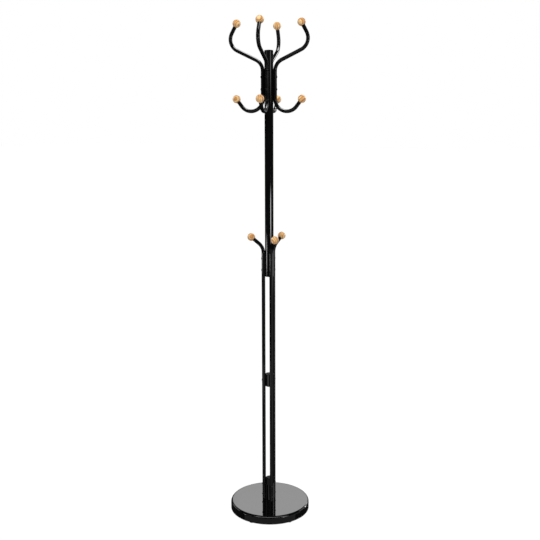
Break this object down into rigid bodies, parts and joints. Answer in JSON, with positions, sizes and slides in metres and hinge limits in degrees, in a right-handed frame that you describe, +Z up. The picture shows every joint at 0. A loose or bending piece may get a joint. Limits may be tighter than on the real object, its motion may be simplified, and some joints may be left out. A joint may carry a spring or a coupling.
{
  "type": "standing coat rack",
  "caption": "Free-standing coat rack: round weighted base, slim black tubes rising to a central pole, curved double hooks and side hooks tipped with wooden balls.",
  "frame": {"origin": "on the floor, at the centre of the round base's underside", "axes": "+Z up along the pole; +X out along the first double hook, +Y along the second"},
  "size_m": [0.3, 0.3, 1.8263],
  "materials": {
    "black_tube": "gloss black enamel on bent steel tube",
    "gloss_black_base": "mirror-gloss black enamel on pressed steel",
    "varnished_wood": "clear varnished light wood with visible grain",
    "black_plastic": "moulded black plastic",
    "black_screw": "black-coated steel",
    "zinc_steel": "zinc-plated steel",
    "ballast_iron": "rough sand-cast",
    "rubber_pad": "matt"
  },
  "bodies": {
    "root": {"base_shell": "gloss_black_base", "ballast_weight": "ballast_iron", "base_bottom_plate": "black_plastic", "foot_pad_1": "rubber_pad", "foot_pad_2": "rubber_pad", "foot_pad_3": "rubber_pad", "foot_pad_4": "rubber_pad", "foot_pad_5": "rubber_pad", "foot_pad_6": "rubber_pad", "centre_bolt": "zinc_steel", "bolt_washer": "zinc_steel", "lower_connector": "black_tube", "lower_connector_cap": "black_plastic", "middle_connector": "black_tube", "middle_connector_top_plug": "black_plastic", "middle_connector_bottom_plug": "black_plastic", "main_pole": "black_tube", "pole_top_cap": "black_plastic", "pole_bottom_plug": "black_plastic", "lower_tube_1": "black_tube", "lower_tube_2": "black_tube", "lower_tube_3": "black_tube", "double_hook_1": "black_tube", "double_hook_2": "black_tube", "double_hook_3": "black_tube", "double_hook_4": "black_tube", "upper_ball_1": "varnished_wood", "upper_ball_2": "varnished_wood", "upper_ball_3": "varnished_wood", "upper_ball_4": "varnished_wood", "lower_ball_1": "varnished_wood", "lower_ball_2": "varnished_wood", "lower_ball_3": "varnished_wood", "lower_ball_4": "varnished_wood", "side_ball_1": "varnished_wood", "side_ball_2": "varnished_wood", "side_ball_3": "varnished_wood", "hook_screw_1_1": "black_screw", "hook_screw_1_2": "black_screw", "hook_screw_2_1": "black_screw", "hook_screw_2_2": "black_screw", "hook_screw_3_1": "black_screw", "hook_screw_3_2": "black_screw", "hook_screw_4_1": "black_screw", "hook_screw_4_2": "black_screw", "tube_screw_1_1": "black_screw", "tube_screw_1_2": "black_screw", "tube_screw_1_3": "black_screw", "tube_screw_1_4": "black_screw", "tube_screw_1_5": "black_screw", "tube_screw_2_1": "black_screw", "tube_screw_2_2": "black_screw", "tube_screw_2_3": "black_screw", "tube_screw_2_4": "black_screw", "tube_screw_2_5": "black_screw", "tube_screw_3_1": "black_screw", "tube_screw_3_2": "black_screw", "tube_screw_3_3": "black_screw", "tube_screw_3_4": "black_screw", "tube_screw_3_5": "black_screw"}
  },
  "joints": []
}
